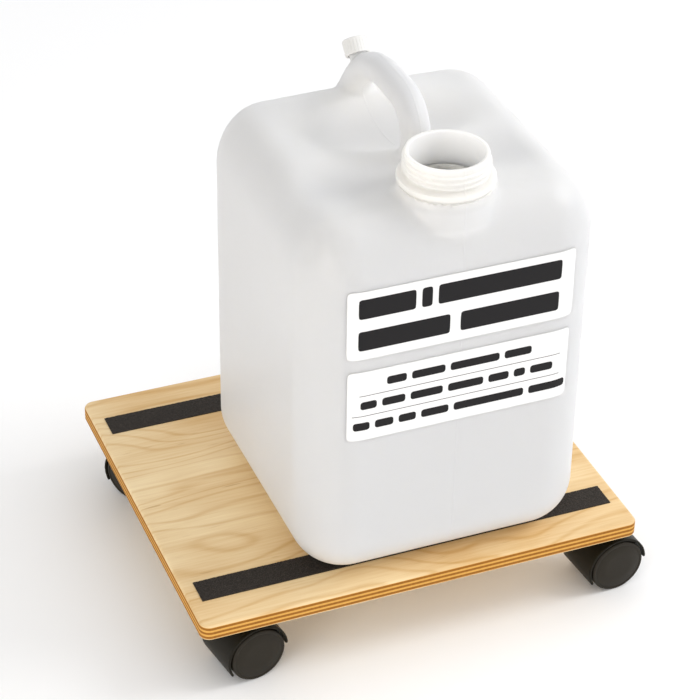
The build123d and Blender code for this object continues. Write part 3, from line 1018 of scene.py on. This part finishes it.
def tape():
    material, tree, inputs, place = finish_for("grip_tape", (0.028, 0.023, 0.013), 0.8)
    inputs["Specular IOR Level"].default_value = 0.3
    speck = noise(tree, place, 1300.0, 2.0, 0.7)
    grain = ranged(tree, speck, 0.45, 0.72)
    plug(tree, inputs["Base Color"], blend(tree, grain, (0.017, 0.013, 0.010), (0.062, 0.052, 0.044)))
    bumped(tree, inputs, speck, 0.8, 0.3 * MM)
    return material


grit = grit_group()
tape_finish = tape()
for seed, name in enumerate(("grip_strip_front", "grip_strip_rear"), start=1):
    keep(link(name + "_grit", grit_sheet(*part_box(name), seed)), "dolly", "grip_tape", tape_finish, name)


# %% [markdown]
# ## Vent cap
# The cap is a turned shape whose skirt is fluted: the same helper that made the threads adds the
# flutes, because both are only a change of radius with angle.


# %% Cap and liner
def plain_plastic(name, colour, roughness, grain=0.12, scale=700.0, soft=0.0, shine=0.5):
    material, tree, inputs, place = finish_for(name, colour, roughness)
    inputs["Specular IOR Level"].default_value = shine
    inputs["Subsurface Weight"].default_value = soft
    inputs["Subsurface Radius"].default_value = (1.0, 0.98, 0.92)
    inputs["Subsurface Scale"].default_value = 0.004
    bumped(tree, inputs, noise(tree, place, scale, 2.0), grain, 0.2 * MM)
    return material


cap_outside = 10.8 * MM
cap_inside = 8.8 * MM
cap_base = spout_length - 10.8 * MM
cap_ceiling = spout_length + 1.1 * MM
cap_crown = cap_ceiling + 1.8 * MM


def flutes(angle, level):
    if level > cap_ceiling or level < cap_base + 0.2 * MM:
        return 0.0
    return -0.3 * MM * max(0.0, math.cos(24 * angle)) ** 2


cap_profile = [
    (0, cap_base),
    (cap_outside - 0.4 * MM, cap_base),
    (cap_outside, cap_base + 0.4 * MM),
    (cap_outside, cap_base + 0.8 * MM),
    (cap_outside, cap_ceiling - 0.4 * MM),
    (cap_outside, cap_ceiling + 0.4 * MM),
    (cap_outside - 0.12 * MM, cap_crown - 0.6 * MM),
    (cap_outside - 0.5 * MM, cap_crown - 0.15 * MM),
    (cap_outside - 1.1 * MM, cap_crown),
    (0, cap_crown - 0.15 * MM),
]
below = cap_base - 1 * MM
cap_hole = [(0, below), (cap_inside, below), (cap_inside, cap_ceiling), (0, cap_ceiling)]
cap_mesh = combine(
    "vent_cap_body",
    lathe(cap_profile, 240, spout_place, flutes),
    ("DIFFERENCE", lathe(cap_hole, 120, spout_place)),
)
keep(
    link("vent_cap_body", crease(cap_mesh, 40)),
    "vent_cap",
    "cap_polypropylene",
    plain_plastic("cap_polypropylene", (0.76, 0.76, 0.75), 0.36, soft=0.25),
    "vent_cap",
)


def dress(node, material):
    """A CAD node keeps its own mesh and takes a finish."""
    piece = frame["nodes"][node]
    piece.data.materials.clear()
    piece.data.materials.append(material)


dress("vent_cap_liner", plain_plastic("liner_foam", (0.72, 0.71, 0.68), 0.9))

# %% [markdown]
# ## Casters
# All four casters are the same moulding turned to different angles, so the hood and the wheel are
# each made once, in the caster's own directions: u along the trail, w along the axle. The joints
# of the frame then say where each copy goes.

# %% Caster finishes
def zinc():
    material, tree, inputs, place = finish_for("zinc_steel", (0.62, 0.63, 0.64), 0.3)
    inputs["Metallic"].default_value = 1.0
    cloud = noise(tree, place, 160.0, 3.0, 0.6)
    plug(tree, inputs["Roughness"], ranged(tree, cloud, 0.3, 0.7, 0.24, 0.42))
    plug(tree, inputs["Base Color"], blend(tree, cloud, (0.56, 0.57, 0.60), (0.68, 0.68, 0.67)))
    return material


hood_finish = plain_plastic("caster_nylon", (0.010, 0.008, 0.004), 0.42, 0.25, 900.0, shine=0.14)
wheel_finish = plain_plastic("wheel_nylon", (0.022, 0.018, 0.012), 0.48, 0.2, 900.0, shine=0.18)
zinc_finish = zinc()
spring_finish = plain_plastic("spring_steel", (0.30, 0.30, 0.32), 0.35)
spring_finish.node_tree.nodes["Principled BSDF"].inputs["Metallic"].default_value = 1.0
acetal_finish = plain_plastic("washer_acetal", (0.70, 0.69, 0.65), 0.4)
print("caster finishes:", hood_finish.name, wheel_finish.name, zinc_finish.name, acetal_finish.name)

# %% Hood as a distance
trail = 16 * MM
wheel_radius = 25 * MM
hood_radius, hood_wall, hood_half = 28.5 * MM, 2.2 * MM, 24 * MM
web_half = 6 * MM
tail, nose = math.radians(3), math.radians(208)
swivel_top = 56.3 * MM

hood, wires, outlet = new_group("hood_distance", ("Position", "Vector"), ("Distance", "Float"))
u, w, h = parts_of(hood, wires["Position"])
du, dh = u - trail, h - wheel_radius
reach_out = span(du, dh)
side_way = w.math("ABSOLUTE")
past_tail = du * math.sin(tail) - dh * math.cos(tail)
past_nose = dh * math.cos(nose) - du * math.sin(nose)
sector = past_tail.least(past_nose)
shell = (reach_out - (hood_radius - hood_wall / 2)).math("ABSOLUTE") - hood_wall / 2
soft_edge = 1.2 * MM
shell = shell.math("SMOOTH_MAX", side_way - hood_half, soft_edge).math("SMOOTH_MAX", sector, soft_edge)
from_stem = span(u, w)
taper = (48 * MM - h).most(0.0) * 0.6
boss = (from_stem - 9.5 * MM + taper).math("SMOOTH_MAX", h - swivel_top, 0.8 * MM)
boss = boss.most(27.0 * MM - reach_out)
shell = shell.math("SMOOTH_MIN", boss, 3.0 * MM).most((hood_radius - hood_wall) - reach_out)
web_outline = (reach_out - 27.2 * MM).most(sector).least(reach_out - 8 * MM)
web = (side_way - web_half).math("SMOOTH_MAX", web_outline, 0.8 * MM)
king_bore = (from_stem - 3.7 * MM).most(34.5 * MM - h)
ring_room = (from_stem - 4.9 * MM).most((h - 39.7 * MM).math("ABSOLUTE") - 1.1 * MM)
plug(hood, outlet, shell.least(web).most(-king_bore).most(-ring_room))

hood_low, hood_high = Vector((-14, -27, 8)) * MM, Vector((48, 27, 59)) * MM
hood_mesh = skin("hood", hood, hood_low, hood_high, 0.8 * MM, hood_finish)
crease(hood_mesh, 55)

# %% Wheel
face, rim_round = 25 * MM, 1.6 * MM
inner = 6.5 * MM


def quarter(radius, level, size, start):
    """Points of a quarter round, by angle from start in degrees."""
    angles = [math.radians(start + a) for a in (0, 18, 36, 54, 72, 90)]
    return [(radius + size * math.cos(a), level + size * math.sin(a)) for a in angles]


wheel_profile = [
    (0, 22.4 * MM),
    (3.05 * MM, 22.4 * MM),
    (3.05 * MM, inner),
    (7.5 * MM, inner),
    (7.5 * MM, 20.5 * MM),
    (21.5 * MM, 20.5 * MM),
    (21.5 * MM, inner),
    *quarter(wheel_radius - rim_round, inner + rim_round, rim_round, -90),
    *quarter(wheel_radius - rim_round, face - 0.5 * MM - rim_round, rim_round, 0),
    (22.6 * MM, face - 0.42 * MM),
    (22.2 * MM, face - 0.72 * MM),
    (21.6 * MM, face - 0.72 * MM),
    (21.2 * MM, face - 0.36 * MM),
    (12.0 * MM, face - 0.12 * MM),
    (0, face),
]
wheel_mesh = crease(lathe(wheel_profile, 128), 50)
print("wheel faces:", len(wheel_mesh.polygons))

# %% Screws by Geometry Nodes
screw_profile = [
    (0, 70 * MM),
    (0.5 * MM, 69.6 * MM),
    (1.9 * MM, 67.5 * MM),
    (1.9 * MM, 58.0 * MM),
    (3.7 * MM, 58.0 * MM),
    (3.6 * MM, 57.4 * MM),
    (2.9 * MM, 56.5 * MM),
    (1.6 * MM, 56.05 * MM),
    (0, 56.0 * MM),
]


def box_mesh(x_size, y_size, low, high):
    build = bmesh.new()
    for vert in bmesh.ops.create_cube(build, size=1.0)["verts"]:
        level = low + (vert.co.z + 0.5) * (high - low)
        vert.co = Vector((vert.co.x * x_size, vert.co.y * y_size, level))
    mesh = bpy.data.meshes.new("bar")
    build.to_mesh(mesh)
    build.free()
    return mesh


turned = lathe(list(reversed(screw_profile)), 40)
screw_mesh = combine(
    "screw",
    turned,
    ("DIFFERENCE", box_mesh(4.0 * MM, 0.9 * MM, 55 * MM, 57.3 * MM)),
    ("DIFFERENCE", box_mesh(0.9 * MM, 4.0 * MM, 55 * MM, 57.3 * MM)),
)
crease(screw_mesh, 35)
print("screw faces:", len(screw_mesh.polygons))


def four_group():
    """Copies of one mesh at the corners of a square."""
    tree, wires, outlet = new_group(
        "four_corners",
        ("Copy", "Geometry"),
        ("Spacing", "Float"),
        ("Centre", "Vector"),
        ("Seed", "Int"),
        ("Finish", "Material"),
        ("Geometry", "Geometry"),
    )
    grid = step(
        tree,
        "GeometryNodeMeshGrid",
        {},
        {"Size X": wires["Spacing"], "Size Y": wires["Spacing"], "Vertices X": 2, "Vertices Y": 2},
    )
    turn = tree.nodes.new("FunctionNodeRandomValue")
    turn.data_type = "FLOAT_VECTOR"
    values = [socket for socket in turn.inputs if socket.enabled and socket.name in ("Min", "Max")]
    values[0].default_value = (0.0, 0.0, 0.0)
    values[1].default_value = (0.0, 0.0, math.pi)
    plug(tree, next(s for s in turn.inputs if s.name == "Seed"), wires["Seed"])
    spin = Wire(tree, next(s for s in turn.outputs if s.enabled))
    copies = step(
        tree,
        "GeometryNodeInstanceOnPoints",
        {},
        {"Points": grid, "Instance": wires["Copy"], "Rotation": spin},
    )
    centre = wires["Centre"]
    moved = step(tree, "GeometryNodeTransform", {}, {"Geometry": copies, "Translation": centre})
    end_tree(tree, outlet, moved, wires["Finish"])
    return tree


four_corners = four_group()


def four_screws(centre, seed):
    holder = link("screws", screw_mesh.copy())
    modifier = holder.modifiers.new("four", "NODES")
    modifier.node_group = four_corners
    set_input(modifier, "Spacing", 29 * MM)
    set_input(modifier, "Centre", centre)
    set_input(modifier, "Seed", seed)
    set_input(modifier, "Finish", zinc_finish)
    return baked_mesh(holder)


# %% Four casters
joints = {joint["name"]: joint for joint in frame["joints"]}
for seed, tag in enumerate(("front_left", "front_right", "rear_left", "rear_right"), start=1):
    stem = Vector(joints["swivel_" + tag]["pos_m"])
    hub = Vector(joints["spin_a_" + tag]["pos_m"])
    ahead = Vector((hub.x - stem.x, hub.y - stem.y, 0)).normalized()
    turn = Matrix((ahead, Vector((-ahead.y, ahead.x, 0)), Vector((0, 0, 1)))).transposed().to_4x4()
    place = Matrix.Translation((stem.x, stem.y, 0)) @ turn

    hood_copy = hood_mesh.copy()
    hood_copy.transform(place)
    keep(link("hood_" + tag, hood_copy), "caster_" + tag, "caster_nylon", hood_finish, "housing_" + tag)

    axle_way = Vector(joints["spin_a_" + tag]["axis"]).normalized()
    for letter in "ab":
        low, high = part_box(f"wheel_{letter}_{tag}")
        way = axle_way if ((low + high) / 2 - hub).dot(axle_way) > 0 else -axle_way
        stand = Vector((0, 0, 1)).rotation_difference(way).to_matrix().to_4x4()
        copy = wheel_mesh.copy()
        copy.transform(Matrix.Translation(hub) @ stand)
        keep(
            link(f"disc_{letter}_{tag}", copy),
            f"wheel_{letter}_{tag}",
            "wheel_nylon",
            wheel_finish,
            f"wheel_{letter}_{tag}",
        )
    screws = four_screws((stem.x, stem.y, 0), seed)
    keep(link("screws_" + tag, screws), "dolly", "zinc_steel", zinc_finish, "plate_screws_" + tag)
    for node in ("mounting_plate_", "kingpin_", "axle_"):
        dress(node + tag, zinc_finish)
    dress("retaining_ring_" + tag, spring_finish)
    dress("swivel_washer_" + tag, acetal_finish)

# %% Floor
floor_mesh = bpy.data.meshes.new("floor")
far = 12.0
floor_mesh.from_pydata(
    [(-far, -far, 0), (far, -far, 0), (far, far, 0), (-far, far, 0)],
    [],
    [(0, 1, 2, 3)],
)
floor = link("floor", floor_mesh)
floor_paint = bpy.data.materials.new("pale_floor")
floor_paint.use_nodes = True
floor_inputs = floor_paint.node_tree.nodes["Principled BSDF"].inputs
floor_inputs["Base Color"].default_value = (0.985, 0.99, 1.0, 1)
floor_inputs["Roughness"].default_value = 0.9
floor.data.materials.append(floor_paint)
print("floor side in m:", 2 * far)
